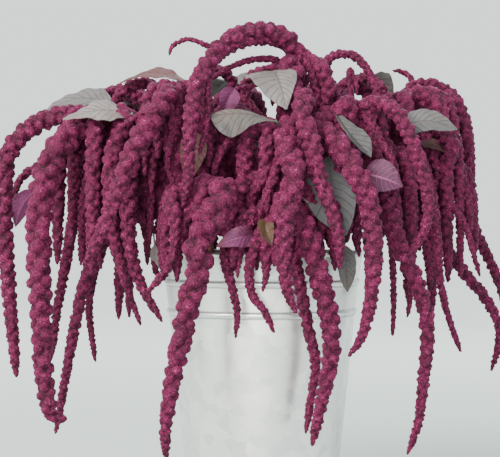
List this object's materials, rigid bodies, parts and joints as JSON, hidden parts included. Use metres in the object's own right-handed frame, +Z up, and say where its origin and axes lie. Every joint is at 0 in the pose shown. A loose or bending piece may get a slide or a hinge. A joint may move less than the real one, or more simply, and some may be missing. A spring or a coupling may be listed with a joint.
{
  "type": "bucket of amaranth seed heads",
  "caption": "Tall round galvanised bucket of water holding a dense bunch of cut love-lies-bleeding amaranth, with long tassels drooping over the rim among grey leaves.",
  "frame": {"origin": "centre of the bucket's flat bottom, on the surface it stands on", "axes": "+Z up, -Y towards the pictured front, +X to the picture's right"},
  "size_m": [0.5843, 0.3606, 0.5437],
  "materials": {
    "galvanised_zinc": "satin",
    "water": "gloss",
    "red_stem": "satin",
    "crimson_tassel": "matte",
    "grey_leaf": "matte",
    "purple_leaf": "matte",
    "brown_leaf": "matte"
  },
  "bodies": {
    "root": {"bucket": "galvanised_zinc", "water": "water", "stem_far_left": "red_stem", "stem_upper_left": "red_stem", "stem_top_arch": "red_stem", "stem_centre": "red_stem", "stem_right_loop": "red_stem", "stem_far_right": "red_stem", "stem_low_right": "red_stem", "stem_low_front": "red_stem", "stem_front_left": "red_stem", "stem_low_left": "red_stem", "stem_middle": "red_stem", "stem_back_left": "red_stem", "stem_back_top": "red_stem", "stem_back_right": "red_stem", "stem_low_back_left": "red_stem", "stem_low_back_right": "red_stem", "head_far_left": "crimson_tassel", "head_upper_left": "crimson_tassel", "head_top_arch": "crimson_tassel", "head_centre": "crimson_tassel", "head_right_loop": "crimson_tassel", "head_far_right": "crimson_tassel", "head_low_right": "crimson_tassel", "head_low_front": "crimson_tassel", "head_front_left": "crimson_tassel", "head_low_left": "crimson_tassel", "head_middle": "crimson_tassel", "head_back_left": "crimson_tassel", "head_back_top": "crimson_tassel", "head_back_right": "crimson_tassel", "head_low_back_left": "crimson_tassel", "head_low_back_right": "crimson_tassel", "leaf_grey_left_back": "grey_leaf", "leaf_grey_left_front": "grey_leaf", "leaf_brown_left": "brown_leaf", "leaf_folded_centre": "grey_leaf", "leaf_arrow_top": "grey_leaf", "leaf_strip_right": "grey_leaf", "leaf_purple_right": "purple_leaf", "leaf_dark_large": "grey_leaf", "leaf_rim_right": "grey_leaf", "leaf_blue_far_right": "grey_leaf", "leaf_olive_left": "brown_leaf", "leaf_purple_front": "purple_leaf", "leaf_brown_front": "brown_leaf", "leaf_pink_far_left": "purple_leaf", "leaf_red_far_right": "brown_leaf", "leaf_rim_left": "grey_leaf", "leaf_purple_top": "purple_leaf", "leaf_mauve_loop": "purple_leaf", "leaf_back_a": "grey_leaf", "leaf_back_b": "grey_leaf", "leaf_back_c": "grey_leaf", "leaf_back_d": "grey_leaf", "leaf_back_e": "grey_leaf"}
  },
  "joints": []
}
